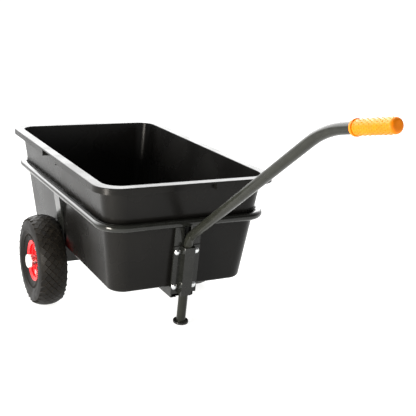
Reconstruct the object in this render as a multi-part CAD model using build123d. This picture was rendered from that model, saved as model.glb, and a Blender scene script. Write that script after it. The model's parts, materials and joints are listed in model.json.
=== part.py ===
from build123d import *
import os
from math import cos, radians, sin, tan

# A two-wheeled garden cart: a tapered plastic tub hung in a steel hoop, on an axle beam, with a bent
# tube that is its leg and its pull handle. All sizes are in millimetres. The cart is laid out standing
# level, with +X towards the handle and +Y across, and is then leaned forward onto its foot. Its origin
# is on the floor.

os.makedirs("parts", exist_ok=True)

# Stance and wheels
lean_deg = 10.0
wheel_d = 260.0
tyre_w = 81.0
tyre_room = 2.2
axle_x = -69.0
axle_d = 20.0
running_gap = 0.05
end_play = 0.5

# Tyre and tube
shoulder_drop = 9.0
shoulder_in = 7.0
bead_foot = 5.0
bead_lip = 1.0
tyre_t = 7.0
crown_t = 10.0
air_neck_in = 14.0
air_rise = 14.0
air_round = 6.0
tube_t = 1.8
tube_gap = 0.3

# Rim, hub and bearings
bead_d = 100.0
rim_flange_d = 118.0
rim_w = 57.0
rim_t = 2.0
rim_step = 5.0
rim_web_y = 14.0
hub_len = 66.0
hub_t = 4.5
bearing_t = 3.0
bearing_len = 14.0
rim_bolt_d = 8.0
rim_bolt_pcd = 72.0
rim_bolt_count = 4
rim_bolt_head = 5.3
rim_vent_d = 13.0
bolt_gap = 0.4
stem_d = 7.5
stem_len = 30.0
stem_turn_deg = 20.0
stem_root = 5.0
stem_lean_deg = 50.0
stem_gap = 0.3
washer_t = 3.0
washer_d = 34.0
cap_d = 38.0
cap_t = 9.0
cap_socket = 6.5

# Tub
rim_len = 812.0
rim_wide = 484.0
tub_height = 283.5
tub_t = 4.0
floor_t = 5.0
rim_overhang = 26.0
wall_draft = 35.5
rim_corner_r = 60.0
mouth_corner_r = 46.0
floor_corner_r = 42.0
floor_edge_r = 8.0
ledge_t = 4.0
ledge_edge_r = 2.5
mouth_edge_r = 1.5
skirt_t = 3.5
skirt_h = 12.0
hold_len = 114.0
hold_h = 16.0
hold_set_back = 14.0

# Frame
hoop_d = 20.0
hoop_t = 1.5
hoop_up = 179.0
hoop_gap = 3.0
beam_t = 2.5
beam_rise = 45.0
keel_w = 62.0
keel_h = 26.5
keel_t = 2.0
strap_w = 48.0
strap_t = 4.0
strap_gap = 1.5
strap_flare = 90.0

# Post: the upright and the clamp hold the tube on one sloping axis
post_slope_deg = 6.0
rib_room = 4.5
pipe_d = 24.0
pipe_t = 1.5
upright_t = 3.0
upright_edge = 10.0
upright_low = -13.0
groove_room = 1.0
groove_foot_w = 18.0
clamp_t = 2.5
clamp_depth = 18.0
clamp_face_room = 2.0
clamp_base_room = 4.5
clamp_low = -15.0
clamp_high = 117.0
rib_over = 1.0
bolt_d = 8.0
bolt_low = 5.0
bolt_high = 101.0
bolt_room = 0.5
dome_d = 17.0
dome_h = 5.0
nut_across = 13.0
nut_h = 5.0
nut_room_gap = 1.0
bolt_washer_d = 17.0
bolt_washer_t = 1.2
bolt_tail = 0.5

# Handle line: elevation of the long straight and of the grip, and where the bends are
handle_rise_deg = 35.6
handle_run = 637.0
grip_rise_deg = 12.3
low_bend_r = 48.0
low_bend_over = 0.7
high_bend_r = 260.0
grip_start = 87.0
grip_len = 109.0
grip_wall = 2.25
grip_flange_h = 1.75
grip_flange_t = 5.0
grip_end_t = 6.0
grip_end_r = 7.0

# Foot
foot_d = 40.0
foot_t = 5.0
foot_edge_r = 1.5
foot_plug_len = 18.0
foot_plug_gap = 0.05

# Sizes that follow
wheel_r = wheel_d / 2
axle_z = wheel_r
axle_r = axle_d / 2
beam_w = axle_d + 2 * beam_t
hub_bore_d = axle_d + 2 * bearing_t
hub_d = hub_bore_d + 2 * hub_t
tub_floor_z = axle_z + beam_rise
tub_rim_z = tub_floor_z + tub_height
ledge_z = tub_rim_z - ledge_t
hoop_z = tub_floor_z + hoop_up
mouth_len = rim_len - 2 * rim_overhang
mouth_w = rim_wide - 2 * rim_overhang
wall_top_len = mouth_len + 2 * tub_t
wall_top_w = mouth_w + 2 * tub_t
floor_len = wall_top_len - 2 * wall_draft
floor_w = wall_top_w - 2 * wall_draft
post_slope = radians(post_slope_deg)
pipe_r = pipe_d / 2
pipe_bore_r = pipe_r - pipe_t
grip_d = pipe_d + 2 * grip_wall
grip_flange_d = grip_d + 2 * grip_flange_h
shoulder_r = wheel_r - shoulder_drop
bulge_r = (rim_flange_d / 2 + shoulder_r) / 2


def wall_at(z, at_floor, at_rim):
    """Size between two opposite outer walls at height z."""
    return at_floor + (at_rim - at_floor) * (z - tub_floor_z) / (ledge_z - tub_floor_z)


# The tyres stand clear of the straps where they are widest
wheel_y = wall_at(axle_z + bulge_r, floor_w, wall_top_w) / 2 + strap_gap + strap_t + tyre_room + tyre_w / 2
hub_inner_y = wheel_y - hub_len / 2
hub_outer_y = wheel_y + hub_len / 2
beam_end_y = hub_inner_y - end_play - washer_t
cap_inner_y = hub_outer_y + end_play + washer_t
post_x = floor_len / 2 + rib_room + upright_t + pipe_r
post_z = tub_floor_z


def pair(values, thing):
    """The solids that a function makes for each value, as one compound."""
    return Compound([solid for v in values for solid in thing(v).solids()])


def ring(outer_r, inner_r, length):
    """A ring about the Z axis, standing on Z = 0."""
    base = Align.CENTER, Align.CENTER, Align.MIN
    return Cylinder(outer_r, length, align=base) - Cylinder(inner_r, length, align=base)


def across(shape, y):
    """Turns a shape's Z axis to +Y and sets it at y."""
    return Location((0, y, 0)) * Rotation(-90, 0, 0) * shape


# ---------------------------------------------------------------- tub
def rounded_slab(length, width, corner_r, z):
    return Plane.XY.offset(z) * RectangleRounded(length, width, corner_r)


def tub_hull():
    low = rounded_slab(floor_len, floor_w, floor_corner_r, tub_floor_z)
    high = rounded_slab(wall_top_len, wall_top_w, mouth_corner_r + tub_t, ledge_z)
    hull = loft([low, high])
    return fillet(hull.edges().group_by(Axis.Z)[0], floor_edge_r)


def tub_cavity():
    floor = tub_floor_z + floor_t
    shrink = 2 * tub_t
    low = rounded_slab(wall_at(floor, floor_len, wall_top_len) - shrink,
                       wall_at(floor, floor_w, wall_top_w) - shrink, floor_corner_r - tub_t, floor)
    high = rounded_slab(mouth_len, mouth_w, mouth_corner_r, tub_rim_z)
    cavity = loft([low, high])
    return fillet(cavity.edges().group_by(Axis.Z)[0], floor_edge_r - tub_t)


def skirt_outline(inset):
    return RectangleRounded(rim_len - 2 * inset, rim_wide - 2 * inset, rim_corner_r - inset)


def hand_hold(reach, turn_deg):
    """The box that is cut from the skirt, and the set-back panel with its two returns."""
    base = Align.MAX, Align.CENTER, Align.MAX
    notch = Box(hold_set_back, hold_len, hold_h, align=base)
    panel = Box(hold_set_back + skirt_t, hold_len + 2 * skirt_t, hold_h, align=base) - notch
    place = Rotation(0, 0, turn_deg) * Location((reach, 0, ledge_z))
    return place * notch, place * panel


def make_tub():
    ledge = Plane.XY.offset(ledge_z) * extrude(skirt_outline(0), ledge_t)
    ledge = fillet(ledge.edges().group_by(Axis.Z)[-1], ledge_edge_r)
    skirt = Plane.XY.offset(ledge_z - skirt_h) * extrude(skirt_outline(0) - skirt_outline(skirt_t), skirt_h)
    for reach, turn_deg in ((rim_len / 2, 0), (rim_len / 2, 180), (rim_wide / 2, 90), (rim_wide / 2, -90)):
        notch, panel = hand_hold(reach, turn_deg)
        skirt = skirt - notch + panel
    shell = tub_hull() + ledge + skirt - tub_cavity()
    mouth = [edge for edge in shell.edges().group_by(Axis.Z)[-1]
             if abs(edge.center().X) <= mouth_len / 2 and abs(edge.center().Y) <= mouth_w / 2]
    return fillet(mouth, mouth_edge_r)


# ---------------------------------------------------------------- frame
def hoop_solid(radius):
    """A ring of round bar that follows the tub's wall at the hoop's height."""
    gap = 2 * hoop_gap + hoop_d
    length = wall_at(hoop_z, floor_len, wall_top_len) + gap
    width = wall_at(hoop_z, floor_w, wall_top_w) + gap
    corner = (floor_corner_r + mouth_corner_r + tub_t) / 2 + gap / 2
    path = (Plane.XY.offset(hoop_z) * RectangleRounded(length, width, corner)).wire()
    section = Plane(origin=(length / 2, 0, hoop_z), z_dir=(0, 1, 0)) * Circle(radius)
    return sweep(section, path=path)


def make_hoop():
    return hoop_solid(hoop_d / 2) - hoop_solid(hoop_d / 2 - hoop_t)


def make_axle_beam():
    """A deep channel, open below, that holds the axle rod between its sides and carries the tub."""
    base = Align.CENTER, Align.CENTER, Align.MIN
    outer = Box(beam_w, 2 * beam_end_y, beam_rise + axle_r, align=base)
    inner = Box(beam_w - 2 * beam_t, 2 * beam_end_y, beam_rise + axle_r - beam_t, align=base)
    return Location((axle_x, 0, axle_z - axle_r)) * (outer - inner)


def make_axle_rod():
    end_y = cap_inner_y + cap_socket
    rod = Cylinder(axle_r, 2 * end_y)
    return Location((axle_x, 0, axle_z)) * Rotation(90, 0, 0) * rod


def on_post(shape):
    """Sets a shape made about the pipe's axis, with +X facing forward, onto the sloping post."""
    return Location((post_x, 0, post_z)) * Rotation(0, post_slope_deg, 0) * shape


def post_bar(x_low, x_high, width, z_low, z_high):
    base = Align.MIN, Align.CENTER, Align.MIN
    return Location((x_low, 0, z_low)) * Box(x_high - x_low, width, z_high - z_low, align=base)


# Across the post: the clamp's flange, the plate behind it, and the widths that follow the pipe
flange_x = pipe_r + clamp_t - clamp_depth
plate_front = flange_x - clamp_t
plate_back = plate_front - upright_t
rib_back = -pipe_r - upright_t
clamp_face_half = pipe_r + clamp_face_room
clamp_base_half = pipe_r + clamp_base_room
groove_half = pipe_r + groove_room
bolt_y = clamp_base_half + dome_d / 2 + bolt_room
upright_half = bolt_y + upright_edge


def make_keel():
    """A flat box tube under the tub's floor, from the axle beam to the upright."""
    tail_x = axle_x + beam_w / 2
    length = post_x - tail_x
    low_z = tub_floor_z - keel_h
    base = Align.MIN, Align.CENTER, Align.MIN
    outer = Location((tail_x, 0, low_z)) * Box(length, keel_w, keel_h, align=base)
    inner = Location((tail_x, 0, low_z + keel_t)) * Box(
        length, keel_w - 2 * keel_t, keel_h - 2 * keel_t, align=base)
    ahead = on_post(post_bar(plate_back, post_x, 4 * upright_half, -post_z, post_z))
    rib_notch = on_post(post_bar(rib_back, post_x, 2 * (groove_half + upright_t), -post_z, post_z))
    return outer - inner - ahead - rib_notch - nut_room()


def mirrored(points):
    """A closed outline about the X axis, from the points on its +Y side."""
    return Polyline(*points, *[(x, -y) for x, y in reversed(points)], close=True)


def make_upright():
    """A plate from under the keel up to the hoop, pressed back in a groove that takes the pipe."""
    rise = (hoop_z - post_z) / cos(post_slope) + hoop_d
    rib_high = clamp_high + rib_over
    plate = post_bar(plate_back, plate_front, 2 * upright_half, upright_low, rise)
    foot = groove_foot_w / 2
    rib = mirrored([(plate_front, groove_half + upright_t), (plate_back, groove_half + upright_t),
                    (rib_back, foot + upright_t)])
    groove = mirrored([(plate_front, groove_half), (-pipe_r, foot)])
    rib = Location((0, 0, upright_low)) * extrude(make_face(rib), rib_high - upright_low)
    groove = Location((0, 0, upright_low)) * extrude(make_face(groove), rib_high - upright_t - upright_low)
    above = Location((0, 0, hoop_z)) * Box(4 * post_x, 4 * upright_half, 2 * hoop_d,
                                           align=(Align.CENTER, Align.CENTER, Align.MIN))
    pipe = Location((0, 0, -post_z)) * Cylinder(pipe_r, 2 * post_z + rise,
                                                align=(Align.CENTER, Align.CENTER, Align.MIN))
    plate = on_post(plate + rib - groove - pipe) - above - hoop_solid(hoop_d / 2)
    return plate - bolt_holes()


def bolt_spots():
    return [(y, z) for z in (bolt_low, bolt_high) for y in (-bolt_y, bolt_y)]


def forward(shape, x, y, z):
    """Turns a shape's Z axis to point forward off the post and sets it there."""
    return Location((x, y, z)) * Rotation(0, 90, 0) * shape


def bolt_holes():
    drill = Cylinder(bolt_d / 2 + bolt_gap / 2, 4 * clamp_depth)
    return on_post(pair(bolt_spots(), lambda s: forward(drill, 0, s[0], s[1])))


def nut_room():
    """Room at the keel's nose for the lower nuts and their washers."""
    depth = bolt_washer_t + nut_h + bolt_tail + nut_room_gap
    room = Cylinder(bolt_washer_d / 2 + nut_room_gap, depth, align=(Align.CENTER, Align.CENTER, Align.MAX))
    low = [spot for spot in bolt_spots() if spot[1] == bolt_low]
    return on_post(pair(low, lambda s: forward(room, plate_back, s[0], s[1])))


def make_clamp():
    """A hat-section pressing: its crown holds the pipe in the upright's groove."""
    crown, base = clamp_face_half, clamp_base_half
    outer = [(plate_front, upright_half), (flange_x, upright_half), (flange_x, base),
             (pipe_r + clamp_t, crown)]
    inner = [(plate_front, base - clamp_t), (pipe_r, crown - clamp_t)]
    hat = make_face(mirrored(outer)) - make_face(mirrored(inner))
    hat = Location((0, 0, clamp_low)) * extrude(hat, clamp_high - clamp_low)
    return on_post(hat) - bolt_holes()


def make_clamp_bolts():
    cap_r = ((dome_d / 2) ** 2 + dome_h ** 2) / (2 * dome_h)
    dome = Location((0, 0, dome_h - cap_r)) * Sphere(cap_r)
    dome = dome & Cylinder(dome_d / 2, dome_h, align=(Align.CENTER, Align.CENTER, Align.MIN))
    reach = clamp_t + upright_t + bolt_washer_t + nut_h + bolt_tail
    shank = Cylinder(bolt_d / 2, reach, align=(Align.CENTER, Align.CENTER, Align.MAX))
    bolt = dome + shank
    return on_post(pair(bolt_spots(), lambda s: forward(bolt, flange_x, s[0], s[1])))


def make_clamp_washers():
    washer = ring(bolt_washer_d / 2, bolt_d / 2, bolt_washer_t)
    return on_post(pair(bolt_spots(), lambda s: forward(washer, plate_back - bolt_washer_t, s[0], s[1])))


def make_clamp_nuts():
    hexagon = RegularPolygon(nut_across / 2, 6, major_radius=False) - Circle(bolt_d / 2)
    nut = extrude(hexagon, nut_h)
    back = plate_back - bolt_washer_t - nut_h
    return on_post(pair(bolt_spots(), lambda s: forward(nut, back, s[0], s[1])))


def strap_y(z, gap):
    return wall_at(z, floor_w, wall_top_w) / 2 + gap


def strap_x(z):
    """The strap's middle: it leans from over the axle to the middle of the hoop."""
    return axle_x * (hoop_z - z) / (hoop_z - axle_z)


def make_strap(side):
    """A flat bar that leans up the side wall, from the axle beam, and flares to the hoop's middle."""
    flare_z = hoop_z - strap_flare
    to_hoop = hoop_gap + hoop_d / 2 - strap_t / 2
    inner = [(strap_y(tub_floor_z, strap_gap), tub_floor_z), (strap_y(flare_z, strap_gap), flare_z),
             (strap_y(hoop_z, to_hoop), hoop_z)]
    outer = [(y + strap_t, z) for y, z in reversed(inner)]
    section = Plane.YZ * make_face(Polyline(*inner, *outer, close=True))
    reach = abs(axle_x) + strap_w
    sheet = extrude(section, reach, both=True)
    half, foot_x = strap_w / 2, strap_x(tub_floor_z)
    face = make_face(Polyline((foot_x - half, tub_floor_z), (foot_x + half, tub_floor_z), (half, hoop_z),
                              (-half, hoop_z), close=True))
    bar = sheet & extrude(Plane.XZ * face, rim_wide, both=True)
    bar = bar - hoop_solid(hoop_d / 2)
    return bar if side > 0 else mirror(bar, Plane.XZ)


# ---------------------------------------------------------------- pipe, grip and foot
def bent_path(points, radii):
    """A centre line in the plane Y = 0 with an arc at each inner point."""
    return FilletPolyline(*[(x, 0, z) for x, z in points], radius=radii)


lean = radians(lean_deg)
foot_lean = lean + post_slope
# Distance down the post's axis to the floor, once the cart leans, less what the foot's front edge takes
post_height = axle_z - (post_x - axle_x) * sin(lean) + (post_z - axle_z) * cos(lean)
foot_face = foot_d / 2 * tan(foot_lean) - post_height / cos(foot_lean)
pipe_low = foot_face + foot_t


def handle_points():
    """The pipe's lower end, the bend above the clamp, the bend before the grip and the upper end."""
    turn = radians(90 - post_slope_deg - handle_rise_deg)
    low = clamp_high + low_bend_over + low_bend_r * tan(turn / 2)
    start = post_x + pipe_low * sin(post_slope), post_z + pipe_low * cos(post_slope)
    bend = post_x + low * sin(post_slope), post_z + low * cos(post_slope)
    rise = radians(handle_rise_deg)
    knee = bend[0] + handle_run * cos(rise), bend[1] + handle_run * sin(rise)
    tip_run = grip_start + grip_len - grip_end_t
    tip = radians(grip_rise_deg)
    end = knee[0] + tip_run * cos(tip), knee[1] + tip_run * sin(tip)
    return start, bend, knee, end


def pipe_rod(radius):
    path = bent_path(handle_points(), (low_bend_r, high_bend_r))
    start = handle_points()[0]
    section = Plane(origin=(start[0], 0, start[1]), z_dir=(sin(post_slope), 0, cos(post_slope)))
    return sweep(section * Circle(radius), path=path)


def make_handle():
    return pipe_rod(pipe_r) - pipe_rod(pipe_bore_r)


def make_grip():
    _, _, knee, _ = handle_points()
    base = Align.CENTER, Align.CENTER, Align.MIN
    body = Cylinder(grip_d / 2, grip_len, align=base)
    body = fillet(body.edges().sort_by(Axis.Z)[-1], grip_end_r)
    flange = Cylinder(grip_flange_d / 2, grip_flange_t, align=base)
    bore = Cylinder(pipe_r, grip_len - grip_end_t, align=base)
    sleeve = Location((0, 0, grip_start)) * (body + flange - bore)
    return Location((knee[0], 0, knee[1])) * Rotation(0, 90 - grip_rise_deg, 0) * sleeve


def make_foot():
    """A round pad square to the pipe, with a plug up its bore; its front edge stands on the floor."""
    base = Align.CENTER, Align.CENTER, Align.MIN
    pad = Cylinder(foot_d / 2, foot_t, align=base)
    pad = fillet(pad.edges().sort_by(Axis.Z)[-1], foot_edge_r)
    plug = Cylinder(pipe_bore_r - foot_plug_gap, foot_t + foot_plug_len, align=base)
    return on_post(Location((0, 0, foot_face)) * (pad + plug))


# ---------------------------------------------------------------- wheels, made about +Y, facing out
def turned(outline):
    """Revolves an outline of (radius, y) about the Y axis."""
    return revolve(Plane.XY * make_face(outline), Axis.Y)


def make_rim(side):
    """One pressed half of the rim: a flat web, the bead seat and the flange."""
    seat, flange, web = bead_d / 2, rim_flange_d / 2, hub_d / 2
    edge = rim_w / 2
    face = side * rim_web_y
    outer = [(web, face), (seat - rim_step, face), (seat, face + rim_step - rim_t / 2),
             (seat, edge - bead_foot), (flange, edge - rim_t)]
    inner = [(flange, edge), (seat - rim_t, edge - bead_foot + rim_t), (seat - rim_t, face + rim_step),
             (seat - rim_step - rim_t / 2, face + rim_t), (web, face + rim_t)]
    half = turned(Polyline(*outer, *inner, close=True))
    bolt = Cylinder((rim_bolt_d + bolt_gap) / 2, 4 * rim_t)
    vent = Cylinder(rim_vent_d / 2, 4 * rim_t)
    step = 360 / rim_bolt_count
    at = Location((rim_bolt_pcd / 2, face, 0)) * Rotation(-90, 0, 0)
    for i in range(rim_bolt_count):
        half = half - Rotation(0, i * step, 0) * at * bolt - Rotation(0, (i + 0.5) * step, 0) * at * vent
    return (half if side > 0 else mirror(half, Plane.XZ)) - stem_hole()


def stem_place():
    """The valve stem's axis: out of the tube, through the outer half of the rim."""
    root = Location((bead_d / 2 + stem_root, stem_root, 0)) * Rotation(-90, 0, 0)
    return Rotation(0, stem_turn_deg, 0) * root * Rotation(0, -stem_lean_deg, 0)


def stem_hole():
    base = Align.CENTER, Align.CENTER, Align.MIN
    return stem_place() * Cylinder(stem_d / 2 + stem_gap, stem_len, align=base)


def make_stem():
    base = Align.CENTER, Align.CENTER, Align.MIN
    return stem_place() * Cylinder(stem_d / 2, stem_len, align=base)


def make_rim_bolts():
    step = 360 / rim_bolt_count
    shank_len = 2 * rim_t + nut_h + bolt_tail
    base = Align.CENTER, Align.CENTER, Align.MIN
    head = extrude(RegularPolygon(nut_across / 2, 6, major_radius=False), rim_bolt_head)
    shank = Location((0, 0, -shank_len)) * Cylinder(rim_bolt_d / 2, shank_len, align=base)
    bolt = across(head + shank, rim_web_y + rim_t)
    place = Location((rim_bolt_pcd / 2, 0, 0))
    return pair(range(rim_bolt_count), lambda i: Rotation(0, i * step, 0) * place * bolt)


def make_rim_nuts():
    step = 360 / rim_bolt_count
    hexagon = RegularPolygon(nut_across / 2, 6, major_radius=False) - Circle(rim_bolt_d / 2)
    nut = across(extrude(hexagon, nut_h), rim_web_y - rim_t - nut_h)
    place = Location((rim_bolt_pcd / 2, 0, 0))
    return pair(range(rim_bolt_count), lambda i: Rotation(0, i * step, 0) * place * nut)


def make_hub():
    return across(ring(hub_d / 2, hub_bore_d / 2, hub_len), -hub_len / 2)


def make_bearings():
    bearing = ring(hub_bore_d / 2, axle_r + running_gap, bearing_len)
    return pair((-hub_len / 2, hub_len / 2 - bearing_len), lambda y: across(bearing, y))


def air_space(shrink):
    """Outline of the space inside the tyre, down to the rim's seat."""
    low, high = bead_d / 2 + shrink, wheel_r - crown_t - shrink
    half = tyre_w / 2 - tyre_t + bead_lip - shrink
    neck = rim_w / 2 - air_neck_in - shrink
    mid = low + air_rise
    widest = (low + high) / 2 + air_round
    return [
        Line((low, -neck), (low, neck)),
        ThreePointArc((low, neck), (mid, half - air_round), (widest, half)),
        ThreePointArc((widest, half), (high, 0), (widest, -half)),
        ThreePointArc((widest, -half), (mid, air_round - half), (low, -neck)),
    ]


def make_tyre():
    """The tyre's outline: from the seat out past the flange, round the wall and over the crown."""
    seat, flange, edge = bead_d / 2, rim_flange_d / 2, rim_w / 2
    half = tyre_w / 2
    shoulder_y = half - shoulder_in
    foot, lip = (seat, edge - bead_foot), (flange + bead_lip, edge + bead_lip)
    side = [foot, (flange, edge - rim_t), lip]
    other = [(r, -y) for r, y in side]
    outline = [
        Line(side[0], side[1]),
        Line(side[1], side[2]),
        ThreePointArc(lip, (bulge_r, half), (shoulder_r, shoulder_y)),
        ThreePointArc((shoulder_r, shoulder_y), (wheel_r, 0), (shoulder_r, -shoulder_y)),
        ThreePointArc((shoulder_r, -shoulder_y), (bulge_r, -half), other[2]),
        Line(other[2], other[1]),
        Line(other[1], other[0]),
        Line(other[0], side[0]),
    ]
    return revolve(make_face(outline) - make_face(air_space(0)), Axis.Y)


def make_inner_tube():
    wall = make_face(air_space(tube_gap)) - make_face(air_space(tube_gap + tube_t))
    return revolve(wall, Axis.Y) - make_stem()


wheel_makers = {
    "tyre": make_tyre,
    "inner_tube": make_inner_tube,
    "rim_outer": lambda: make_rim(1),
    "rim_inner": lambda: make_rim(-1),
    "rim_bolts": make_rim_bolts,
    "rim_nuts": make_rim_nuts,
    "hub": make_hub,
    "bearings": make_bearings,
    "valve_stem": make_stem,
}


def make_axle_washers():
    washer = ring(washer_d / 2, axle_r, washer_t)
    return pair((beam_end_y, hub_outer_y + end_play), lambda y: across(washer, y))


def make_axle_cap():
    base = Align.CENTER, Align.CENTER, Align.MIN
    cap = Cylinder(cap_d / 2, cap_t, align=base)
    cap = fillet(cap.edges().sort_by(Axis.Z)[-1], cap_t / 3)
    return across(cap - Cylinder(axle_r, cap_socket, align=base), cap_inner_y)


def on_side(side, shape):
    """Takes a shape on the left (+Y) to the axle's place on either side."""
    placed = Location((axle_x, 0, axle_z)) * shape
    return placed if side > 0 else mirror(placed, Plane.XZ)


nodes = {
    "tub": make_tub(),
    "hoop": make_hoop(),
    "axle_beam": make_axle_beam(),
    "axle_rod": make_axle_rod(),
    "keel": make_keel(),
    "upright": make_upright(),
    "clamp": make_clamp(),
    "clamp_bolts": make_clamp_bolts(),
    "clamp_washers": make_clamp_washers(),
    "clamp_nuts": make_clamp_nuts(),
    "foot": make_foot(),
    "handle": make_handle(),
    "grip": make_grip(),
}
for side_name, side in (("left", 1), ("right", -1)):
    nodes["strap_" + side_name] = make_strap(side)
    nodes["axle_washers_" + side_name] = on_side(side, make_axle_washers())
    nodes["axle_cap_" + side_name] = on_side(side, make_axle_cap())
    for piece, maker in wheel_makers.items():
        out = Location((0, wheel_y, 0)) * maker()
        nodes[piece + "_" + side_name] = on_side(side, out)

# Lean the cart about its axle, then put the origin on the floor under the middle of its box
stance = Location((axle_x, 0, axle_z)) * Rotation(0, lean_deg, 0) * Location((-axle_x, 0, -axle_z))
leaned = {name: stance * shape for name, shape in nodes.items()}
box = Compound([solid for shape in leaned.values() for solid in shape.solids()]).bounding_box()
to_origin = Location((-(box.min.X + box.max.X) / 2, 0, -box.min.Z))
for name, shape in leaned.items():
    export_step(to_origin * shape, "parts/" + name + ".step")
print("overall size", box.size, "moved by", to_origin.position)
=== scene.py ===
import bmesh
import bpy
import json
from math import atan2, cos, pi, radians, sin
from mathutils import Matrix, Quaternion, Vector


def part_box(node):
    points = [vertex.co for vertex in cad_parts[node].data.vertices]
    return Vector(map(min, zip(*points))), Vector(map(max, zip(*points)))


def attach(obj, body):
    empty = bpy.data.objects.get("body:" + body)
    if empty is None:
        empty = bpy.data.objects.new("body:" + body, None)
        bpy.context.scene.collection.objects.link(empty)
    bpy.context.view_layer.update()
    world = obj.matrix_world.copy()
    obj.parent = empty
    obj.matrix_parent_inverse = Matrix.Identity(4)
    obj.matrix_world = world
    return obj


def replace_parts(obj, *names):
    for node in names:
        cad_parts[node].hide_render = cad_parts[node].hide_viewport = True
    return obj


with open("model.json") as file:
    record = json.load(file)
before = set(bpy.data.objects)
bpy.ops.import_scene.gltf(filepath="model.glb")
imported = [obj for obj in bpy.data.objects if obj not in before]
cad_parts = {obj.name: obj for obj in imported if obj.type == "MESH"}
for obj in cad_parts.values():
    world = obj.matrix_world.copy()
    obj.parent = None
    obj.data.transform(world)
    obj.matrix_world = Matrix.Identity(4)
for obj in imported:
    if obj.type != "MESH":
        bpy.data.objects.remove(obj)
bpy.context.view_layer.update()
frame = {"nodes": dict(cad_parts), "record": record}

MM = 0.001


# ------------------------------------------------------------------ places taken from the frame
def centre_of(node):
    low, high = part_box(node)
    return (low + high) / 2


def size_of(node):
    low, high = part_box(node)
    return high - low


mounts = {m["name"]: m for m in frame["record"]["mounts"]}
slots = {s["node"]: s["material_slot"] for s in frame["record"]["subparts"]}
sides = ("left", "right")


# ------------------------------------------------------------------ shader building
def add(tree, kind, at=(0, 0), **settings):
    """Adds a node, with its place in the editor and any settings."""
    node = tree.nodes.new(kind)
    node.location = at
    for key, value in settings.items():
        setattr(node, key, value)
    return node


def join(tree, out, into):
    tree.links.new(out, into)


def new_group(name, inputs, outputs):
    """An empty shader group with named sockets, its input node and its output node."""
    tree = bpy.data.node_groups.new(name, "ShaderNodeTree")
    for socket, default in inputs.items():
        made = tree.interface.new_socket(socket, in_out="INPUT", socket_type="NodeSocketFloat")
        made.default_value = default
    for socket in outputs:
        tree.interface.new_socket(socket, in_out="OUTPUT", socket_type="NodeSocketFloat")
    return tree, add(tree, "NodeGroupInput", (-900, 0)), add(tree, "NodeGroupOutput", (700, 0))


def noise(tree, place, scale, detail, rough, at):
    """Noise over the piece's own coordinates, from 0 to 1, with its scale from a socket."""
    node = add(tree, "ShaderNodeTexNoise", at)
    node.inputs["Detail"].default_value = detail
    node.inputs["Roughness"].default_value = rough
    join(tree, scale, node.inputs["Scale"])
    join(tree, place.outputs["Object"], node.inputs["Vector"])
    return node.outputs["Fac"]


def ramp(tree, value, low, high, to_low=0.0, to_high=1.0, at=(-300, 0)):
    """A straight ramp: low gives to_low, high gives to_high, and it stays level beyond both."""
    node = add(tree, "ShaderNodeMapRange", at)
    node.inputs["From Min"].default_value = low
    node.inputs["From Max"].default_value = high
    node.inputs["To Min"].default_value = to_low
    node.inputs["To Max"].default_value = to_high
    join(tree, value, node.inputs["Value"])
    return node.outputs["Result"]


def maths(tree, operation, a, b, at=(0, 0), clamp=False):
    node = add(tree, "ShaderNodeMath", at, operation=operation, use_clamp=clamp)
    for socket, value in ((node.inputs[0], a), (node.inputs[1], b)):
        if isinstance(value, float):
            socket.default_value = value
        else:
            join(tree, value, socket)
    return node.outputs[0]


def mix_colour(tree, factor, a, b, at=(0, 0)):
    """Goes from a to b as the factor rises. Each is a socket or a colour."""
    node = add(tree, "ShaderNodeMix", at, data_type="RGBA")
    join(tree, factor, node.inputs["Factor"])
    for socket, value in ((node.inputs[6], a), (node.inputs[7], b)):
        if isinstance(value, tuple):
            socket.default_value = value
        else:
            join(tree, value, socket)
    return node.outputs[2]


def grain_group():
    """Fine moulding grain on slow waves: a height for the relief, and a mottle from 0 to 1."""
    tree, given, out = new_group(
        "Moulding grain", {"Grain Scale": 900.0, "Wave Scale": 14.0, "Wave Share": 0.5}, ("Height", "Mottle"))
    place = add(tree, "ShaderNodeTexCoord", (-900, 200))
    fine = noise(tree, place, given.outputs["Grain Scale"], 4, 0.6, (-650, 200))
    slow = noise(tree, place, given.outputs["Wave Scale"], 2, 0.4, (-650, -100))
    wave = maths(tree, "MULTIPLY", slow, given.outputs["Wave Share"], (-400, -100))
    join(tree, maths(tree, "ADD", fine, wave, (-200, 100)), out.inputs["Height"])
    join(tree, ramp(tree, slow, 0.35, 0.65), out.inputs["Mottle"])
    return tree


def edge_group():
    """A mask that is 1 on outer edges, broken up by noise: rubbed wear, and on the tub and tyre a painted
    highlight.
    """
    edge_width = 1.6 * MM
    flat_above, sharp_below = 0.99, 0.8     # cosines between the face and its softened normal
    tree, given, out = new_group("Edge wear and painted highlight", {"Amount": 1.0, "Break Scale": 120.0}, ("Mask",))
    place = add(tree, "ShaderNodeTexCoord", (-900, 200))
    soft = add(tree, "ShaderNodeBevel", (-700, 300), samples=4)
    soft.inputs["Radius"].default_value = edge_width
    hard = add(tree, "ShaderNodeNewGeometry", (-700, 100))
    dot = add(tree, "ShaderNodeVectorMath", (-500, 250), operation="DOT_PRODUCT")
    join(tree, soft.outputs["Normal"], dot.inputs[0])
    join(tree, hard.outputs["Normal"], dot.inputs[1])
    edge = ramp(tree, dot.outputs["Value"], flat_above, sharp_below, at=(-300, 250))
    broken = noise(tree, place, given.outputs["Break Scale"], 3, 0.6, (-650, -150))
    kept = ramp(tree, broken, 0.42, 0.62, at=(-350, -150))
    mask = maths(tree, "MULTIPLY", edge, kept, (-100, 100))
    join(tree, maths(tree, "MULTIPLY", mask, given.outputs["Amount"], (100, 100), True), out.inputs["Mask"])
    return tree


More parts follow.
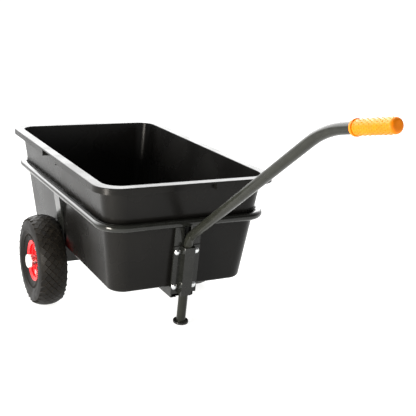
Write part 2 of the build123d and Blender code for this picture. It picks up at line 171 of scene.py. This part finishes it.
def dust_group():
    """A mask of dust: what settles on faces that look up, and patches of haze elsewhere."""
    level_from = 0.3                        # a face this steep starts to hold dust
    tree, given, out = new_group("Settled dust", {"Amount": 0.3, "Patch Scale": 20.0, "Haze": 0.2}, ("Mask",))
    place = add(tree, "ShaderNodeTexCoord", (-900, 200))
    face = add(tree, "ShaderNodeNewGeometry", (-900, -100))
    parts = add(tree, "ShaderNodeSeparateXYZ", (-700, -100))
    join(tree, face.outputs["Normal"], parts.inputs[0])
    up = ramp(tree, parts.outputs["Z"], level_from, 1.0, at=(-500, -100))
    up = maths(tree, "ADD", up, given.outputs["Haze"], (-300, -100), True)
    patch = noise(tree, place, given.outputs["Patch Scale"], 5, 0.65, (-650, 200))
    kept = ramp(tree, patch, 0.4, 0.7, at=(-350, 200))
    mask = maths(tree, "MULTIPLY", up, kept, (-100, 100))
    join(tree, maths(tree, "MULTIPLY", mask, given.outputs["Amount"], (100, 100), True), out.inputs["Mask"])
    return tree


grain, edges, dust = grain_group(), edge_group(), dust_group()


def use(tree, group, at, **values):
    """Places a group in a material, with a value for each of its sockets."""
    node = add(tree, "ShaderNodeGroup", at, node_tree=group)
    for name, value in values.items():
        node.inputs[name.replace("_", " ")].default_value = value
    return node


# ------------------------------------------------------------------ finishes
dust_dulls = 0.5        # how much roughness a full layer of dust adds


def finish_of(name, colour, second, edge_wear_and_sheen_colour, dust_colour, rough=(0.3, 0.4), metallic=0.0, level=0.5,
              coat=0.0, coat_rough=0.1, bump=0.2, depth=0.05 * MM, grain_scale=900.0, wave_scale=14.0,
              wave_share=0.5, edge=0.3, edge_break=120.0, dust_amount=0.2, patch=20.0, haze=0.2):
    """A coloured finish with grain, edges lightened for rubbed wear and, on the tub and tyre, for a painted
    highlight, and dust. Colours are linear (r, g, b).
    """
    material = bpy.data.materials.new(name)
    material.use_nodes = True
    tree = material.node_tree
    shader = tree.nodes["Principled BSDF"]
    shader.inputs["Metallic"].default_value = metallic
    shader.inputs["Specular IOR Level"].default_value = level
    shader.inputs["Coat Weight"].default_value = coat
    shader.inputs["Coat Roughness"].default_value = coat_rough
    texture = use(tree, grain, (-1100, 0), Grain_Scale=grain_scale, Wave_Scale=wave_scale,
                  Wave_Share=wave_share)
    # edge mask: rubbed wear, and a painted highlight where the edge colour is set for it
    edge_wear_and_sheen = use(tree, edges, (-1100, 250), Amount=edge, Break_Scale=edge_break)
    settled = use(tree, dust, (-1100, 450), Amount=dust_amount, Patch_Scale=patch, Haze=haze)
    mottle, dusty = texture.outputs["Mottle"], settled.outputs["Mask"]

    base = mix_colour(tree, mottle, (*colour, 1), (*second, 1), (-800, 100))
    base = mix_colour(tree, edge_wear_and_sheen.outputs["Mask"], base, (*edge_wear_and_sheen_colour, 1), (-600, 200))
    base = mix_colour(tree, dusty, base, (*dust_colour, 1), (-400, 300))
    join(tree, base, shader.inputs["Base Color"])

    gloss = ramp(tree, mottle, 0.0, 1.0, rough[0], rough[1], at=(-600, -50))
    dulled = maths(tree, "MULTIPLY", dusty, dust_dulls, (-600, -150))
    join(tree, maths(tree, "ADD", gloss, dulled, (-400, -50), True), shader.inputs["Roughness"])

    relief = add(tree, "ShaderNodeBump", (-300, -300))
    relief.inputs["Strength"].default_value = bump
    relief.inputs["Distance"].default_value = depth
    join(tree, texture.outputs["Height"], relief.inputs["Height"])
    join(tree, relief.outputs["Normal"], shader.inputs["Normal"])
    return material


# Each finish: two body colours that mottle, the colour of rubbed edges (on the tub and tyre also a painted
# highlight) and the colour of dust.
finishes = {
    # Tub: the lighter edge colour is a painted highlight on the rounded rim edges.
    "tub_plastic": finish_of(
        "Black tub plastic", (0.0058, 0.0056, 0.0052), (0.0076, 0.0073, 0.0067),
        (0.02, 0.02, 0.019), (0.03, 0.029, 0.026), rough=(0.22, 0.3), level=0.12,
        bump=0.25, depth=0.08 * MM, grain_scale=700, wave_scale=9, wave_share=1.6,
        edge=0.5, dust_amount=0.12, patch=14),
    "frame_paint": finish_of(
        "Anthracite enamel", (0.0085, 0.009, 0.0078), (0.011, 0.0118, 0.0102),
        (0.05, 0.052, 0.047), (0.06, 0.057, 0.05), rough=(0.16, 0.24), level=0.2,
        coat=0.3, coat_rough=0.05, bump=0.1, depth=0.06 * MM, grain_scale=420, wave_scale=60,
        edge=0.35, dust_amount=0.1),
    "handle_paint": finish_of(
        "Grey green enamel", (0.014, 0.0148, 0.0116), (0.018, 0.019, 0.015),
        (0.06, 0.062, 0.054), (0.06, 0.056, 0.05), rough=(0.2, 0.26), level=0.15,
        coat=0.12, coat_rough=0.05, bump=0.08, depth=0.06 * MM, grain_scale=420, wave_scale=60,
        edge=0.35, dust_amount=0.1),
    "zinc_steel": finish_of(
        "Zinc plate", (0.62, 0.64, 0.66), (0.74, 0.75, 0.74),
        (0.85, 0.85, 0.84), (0.5, 0.47, 0.42), rough=(0.2, 0.34), metallic=1.0,
        bump=0.2, depth=0.04 * MM, grain_scale=1500, wave_scale=220,
        edge=0.5, dust_amount=0.12),
    "foot_plastic": finish_of(
        "Black foot plastic", (0.006, 0.006, 0.006), (0.009, 0.009, 0.009),
        (0.03, 0.03, 0.03), (0.12, 0.11, 0.095), rough=(0.16, 0.26), level=0.5,
        bump=0.2, grain_scale=1200, wave_scale=50,
        edge=0.4, dust_amount=0.3),
    "grip_plastic": finish_of(
        "Orange grip plastic", (0.84, 0.215, 0.0015), (0.8, 0.19, 0.001),
        (0.95, 0.42, 0.02), (0.7, 0.4, 0.1), rough=(0.32, 0.42), level=0.15,
        bump=0.2, grain_scale=1500, wave_scale=70,
        edge=0.3, dust_amount=0.1),
    "cap_plastic": finish_of(
        "White hub cap", (0.84, 0.84, 0.83), (0.9, 0.9, 0.89),
        (0.95, 0.95, 0.94), (0.6, 0.57, 0.52), rough=(0.18, 0.26),
        bump=0.1, grain_scale=1500, wave_scale=80,
        edge=0.3, dust_amount=0.2),
    # Tyre: the beige edge colour is a painted highlight on the tread blocks, together with rubbed wear.
    "tyre_rubber": finish_of(
        "Tyre rubber", (0.0045, 0.004, 0.0034), (0.0068, 0.006, 0.005),
        (0.05, 0.042, 0.03), (0.06, 0.048, 0.032), rough=(0.42, 0.55), level=0.12,
        bump=0.4, depth=0.2 * MM, grain_scale=600, wave_scale=40, wave_share=0.8,
        edge=0.7, edge_break=200, dust_amount=0.25, patch=60, haze=0.15),
    "tube_rubber": finish_of(
        "Valve rubber", (0.012, 0.012, 0.012), (0.016, 0.016, 0.016),
        (0.04, 0.04, 0.04), (0.1, 0.09, 0.08), rough=(0.5, 0.6),
        bump=0.3, grain_scale=900, wave_scale=60),
    "rim_paint": finish_of(
        "Red rim enamel", (0.78, 0.008, 0.012), (0.7, 0.006, 0.01),
        (0.85, 0.06, 0.05), (0.35, 0.12, 0.09), rough=(0.22, 0.3), level=0.2,
        coat=0.1, coat_rough=0.08, bump=0.15, grain_scale=500, wave_scale=45,
        edge=0.25, dust_amount=0.05),
}


def give(piece, slot_name):
    if not piece.data.materials:
        piece.data.materials.append(finishes[slot_name])
    for held in piece.material_slots:
        held.material = finishes[slot_name]


for node_name, node_object in frame["nodes"].items():
    give(node_object, slots[node_name])


# ------------------------------------------------------------------ mesh building
def piece_from(bm, name, slot_name, body, sharp_deg):
    """Finishes a bmesh into a piece that rides on a body."""
    bmesh.ops.recalc_face_normals(bm, faces=bm.faces)
    mesh = bpy.data.meshes.new(name)
    bm.to_mesh(mesh)
    bm.free()
    mesh.shade_smooth()
    mesh.set_sharp_from_angle(angle=radians(sharp_deg))
    piece = bpy.data.objects.new(name, mesh)
    bpy.context.scene.collection.objects.link(piece)
    give(piece, slot_name)
    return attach(piece, body)


def turn_ring(bm, outline, steps):
    """Spins a closed outline of (radius, along) points about the Y axis."""
    verts = [bm.verts.new((r, y, 0)) for r, y in outline]
    lines = [bm.edges.new(pair) for pair in zip(verts, verts[1:] + verts[:1])]
    bmesh.ops.spin(bm, geom=verts + lines, axis=(0, 1, 0), cent=(0, 0, 0), steps=steps,
                   angle=2 * pi, use_merge=True)
    bmesh.ops.remove_doubles(bm, verts=bm.verts, dist=1e-6)


# ------------------------------------------------------------------ tyres
tyre_size = size_of("tyre_right")
tyre_r, tyre_half = tyre_size.x / 2, tyre_size.y / 2
bead_r, flange_r = 50 * MM, 59 * MM
tyre_steps = 96

# The crown is an arc across the tyre, under the tread blocks.
tread_depth = 3.0 * MM
crown_r = tyre_r - tread_depth
crown_sag, crown_half = 9 * MM, tyre_half - 7 * MM
crown_arc = (crown_half ** 2 + crown_sag ** 2) / (2 * crown_sag)
crown_sweep = atan2(crown_half, crown_arc)
crown_points = 10                           # each side of the middle

# Sidewall points in mm. The outer ones give the drop below the shoulder, the inner ones the height
# above the rim's flange, and both the distance in from the tyre's widest.
wall_outer = ((5, 3.6), (12, 1.2), (20, 0.2), (28, 1.2), (30, 0.8), (32, 2.6))
wall_inner = ((14, 7), (7, 10.5), (5.5, 10.0), (3, 12))
# The bead's points in mm: height above the flange and distance from the tyre's middle.
bead_line = ((0.5, 27.5), (0, 26.5))
bead_half = 23.5 * MM

# Tread blocks: diamonds in staggered rows.
tread_turns, tread_rows = 36, 7
tread_share = 0.93                          # of the crown's width
block_long, block_wide, block_sink = 9.9 * MM, 9.2 * MM, 1.2 * MM
block_flare = 1.12                          # how much wider a block's foot is than its top

# Serrations: short ribs in a ring on each sidewall.
rib_count, rib_size = 72, (9 * MM, 1.4 * MM, 1.5 * MM)
rib_rise, rib_inset, rib_lean = 18 * MM, 5.3 * MM, radians(17)


def tyre_outline():
    """The tyre's section as (radius, along) points, from one shoulder over the crown and round the bead."""
    angles = [crown_sweep * k / crown_points for k in range(-crown_points, crown_points + 1)]
    crown = [(crown_r - crown_arc + crown_arc * cos(a), crown_arc * sin(a)) for a in angles]
    shoulder_r = crown[-1][0]
    wall = [(shoulder_r - drop * MM, tyre_half - inset * MM) for drop, inset in wall_outer]
    wall += [(flange_r + rise * MM, tyre_half - inset * MM) for rise, inset in wall_inner]
    wall += [(flange_r + rise * MM, half * MM) for rise, half in bead_line]
    wall += [(bead_r, bead_half)]
    return crown + wall + [(r, -y) for r, y in reversed(wall)]


def add_tread(bm):
    """Diamond blocks in staggered rows across the crown."""
    row_step = 2 * crown_sweep * tread_share / (tread_rows - 1)
    for row in range(tread_rows):
        lean = (row - (tread_rows - 1) / 2) * row_step
        for i in range(tread_turns):
            turn = 2 * pi * (i + 0.5 * (row % 2)) / tread_turns
            foot = bmesh.ops.create_circle(bm, cap_ends=True, radius=1, segments=4)["verts"]
            up = bmesh.ops.extrude_face_region(bm, geom=[foot[0].link_faces[0]])
            top = [g for g in up["geom"] if isinstance(g, bmesh.types.BMVert)]
            bmesh.ops.translate(bm, verts=top, vec=(0, 0, tread_depth + block_sink))
            bmesh.ops.scale(bm, verts=foot, vec=(block_flare, block_flare, 1))
            block = foot + top
            bmesh.ops.scale(bm, verts=block, vec=(block_long, block_wide, 1))
            place = (Matrix.Rotation(turn, 4, "Y")
                     @ Matrix.Translation((crown_r - crown_arc, 0, 0)) @ Matrix.Rotation(lean, 4, "Z")
                     @ Matrix.Translation((crown_arc - block_sink, 0, 0)) @ Matrix.Rotation(pi / 2, 4, "Y"))
            bmesh.ops.transform(bm, matrix=place, verts=block)


def add_serrations(bm):
    """A ring of short radial ribs on each sidewall, above the bead."""
    for wall in (-1, 1):
        for i in range(rib_count):
            rib = bmesh.ops.create_cube(bm, size=1)["verts"]
            bmesh.ops.scale(bm, verts=rib, vec=rib_size)
            place = (Matrix.Rotation(2 * pi * i / rib_count, 4, "Y")
                     @ Matrix.Translation((flange_r + rib_rise, wall * (tyre_half - rib_inset), 0))
                     @ Matrix.Rotation(-wall * rib_lean, 4, "Z"))
            bmesh.ops.transform(bm, matrix=place, verts=rib)


def make_tyre(name, side):
    bm = bmesh.new()
    turn_ring(bm, tyre_outline(), tyre_steps)
    add_tread(bm)
    add_serrations(bm)
    bmesh.ops.translate(bm, verts=bm.verts, vec=centre_of("hub_" + side))
    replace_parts(piece_from(bm, name, "tyre_rubber", "wheel_" + side, 35), "tyre_" + side)


for side in sides:
    make_tyre("tyre_and_tread_" + side, side)


# ------------------------------------------------------------------ grip studs
def make_grip_studs():
    """Staggered rings of small flat domes round the grip."""
    rings, ring_count = 14, 13
    stud_r, stud_height, end_gap = 1.5 * MM, 0.55, 6 * MM      # the height is a share of the radius
    pin = mounts["grip"]
    centre, axis = Vector(pin["pos_m"]), Vector(pin["axis"])
    grip_r, half = pin["dims"]["r_mm"] * MM, pin["dims"]["length_mm"] * MM / 2
    turn = Vector((0, 0, 1)).rotation_difference(axis).to_matrix().to_4x4()
    bm = bmesh.new()
    for i in range(rings):
        along = -half + end_gap + 2 * (half - end_gap) * i / (rings - 1)
        for k in range(ring_count):
            angle = 2 * pi * (k + 0.5 * (i % 2)) / ring_count
            stud = bmesh.ops.create_icosphere(bm, subdivisions=2, radius=stud_r)["verts"]
            bmesh.ops.scale(bm, verts=stud, vec=(1, 1, stud_height))
            place = (Matrix.Translation(centre) @ turn @ Matrix.Translation((0, 0, along))
                     @ Matrix.Rotation(angle, 4, "Z") @ Matrix.Translation((grip_r, 0, 0))
                     @ Matrix.Rotation(pi / 2, 4, "Y"))
            bmesh.ops.transform(bm, matrix=place, verts=stud)
    piece_from(bm, "grip_studs", "grip_plastic", "frame", 40)


make_grip_studs()


# ------------------------------------------------------------------ floor, light and camera
def make_floor():
    """A pale floor, lit a little from below like a light table."""
    half_side, glow = 30, 0.88
    bm = bmesh.new()
    bmesh.ops.create_grid(bm, x_segments=1, y_segments=1, size=half_side)
    mesh = bpy.data.meshes.new("studio_floor")
    bm.to_mesh(mesh)
    bm.free()
    floor = bpy.data.objects.new("studio_floor", mesh)
    bpy.context.scene.collection.objects.link(floor)
    pale = bpy.data.materials.new("Studio floor")
    pale.use_nodes = True
    shader = pale.node_tree.nodes["Principled BSDF"]
    shader.inputs["Base Color"].default_value = (0.3, 0.3, 0.298, 1)
    shader.inputs["Roughness"].default_value = 0.9
    shader.inputs["Emission Color"].default_value = (1, 1, 0.99, 1)
    shader.inputs["Emission Strength"].default_value = glow
    mesh.materials.append(pale)


def soft_light(name, place, target, size, power, colour=(1, 1, 1)):
    """A rectangular lamp that isn't seen itself."""
    data = bpy.data.lights.new(name, "AREA")
    data.shape, data.size, data.size_y = "RECTANGLE", size[0], size[1]
    data.energy, data.color = power, colour
    lamp = bpy.data.objects.new(name, data)
    bpy.context.scene.collection.objects.link(lamp)
    lamp.location = place
    lamp.visible_camera = False
    lamp.rotation_euler = (Vector(target) - Vector(place)).to_track_quat("-Z", "Y").to_euler()


def soft_sun(name, direction, spread_deg, strength):
    data = bpy.data.lights.new(name, "SUN")
    data.angle, data.energy = radians(spread_deg), strength
    lamp = bpy.data.objects.new(name, data)
    bpy.context.scene.collection.objects.link(lamp)
    lamp.rotation_euler = Vector(direction).to_track_quat("-Z", "Y").to_euler()


def make_world():
    """A studio that is white behind the cart and dark ahead of it, with a bright bank high behind."""
    white, dark, bank_strength = 1.12, 0.12, 5.0
    world = bpy.data.worlds.new("Studio")
    bpy.context.scene.world = world
    world.use_nodes = True
    tree = world.node_tree
    sky = tree.nodes["Background"]
    place = add(tree, "ShaderNodeTexCoord", (-900, 0))
    parts = add(tree, "ShaderNodeSeparateXYZ", (-700, 0))
    join(tree, place.outputs["Generated"], parts.inputs[0])
    wall = ramp(tree, parts.outputs["X"], -0.1, 0.45, white, dark, at=(-500, 0))
    high = ramp(tree, parts.outputs["Z"], 0.22, 0.34, 0.0, bank_strength, at=(-500, -200))
    behind = ramp(tree, parts.outputs["X"], -0.25, -0.6, at=(-500, -400))
    bank = maths(tree, "MULTIPLY", high, behind, (-300, -300))
    join(tree, maths(tree, "ADD", wall, bank, (-150, -100)), sky.inputs["Strength"])
    sky.inputs["Color"].default_value = (1, 1, 1, 1)


def make_camera():
    place, target = Vector((1.7545, -0.8578, 0.5516)), Vector((-0.1834, 0.1468, 0.2775))
    roll, lens, sensor = -0.0264, 69.29, 36
    data = bpy.data.cameras.new("camera")
    data.lens, data.sensor_width = lens, sensor
    data.clip_start, data.clip_end = 0.01, 100
    camera = bpy.data.objects.new("camera", data)
    bpy.context.scene.collection.objects.link(camera)
    camera.location = place
    turn = (target - place).to_track_quat("-Z", "Y") @ Quaternion((0, 0, 1), roll)
    camera.rotation_euler = turn.to_euler()
    bpy.context.scene.camera = camera


make_floor()
make_world()
make_camera()
soft_light("overhead", place=(-0.5, 0.3, 2.6), target=(-0.3, 0, 0), size=(2.0, 1.6), power=26)
soft_light("left_strip", place=(0.38, -1.06, 0.3), target=(-0.05, -0.2, 0.3), size=(0.3, 0.56), power=22,
           colour=(1, 0.94, 0.85))
soft_sun("open_shade", direction=(0.25, -0.1, -1.0), spread_deg=90, strength=0.5)
bpy.context.scene.view_settings.view_transform = "Standard"
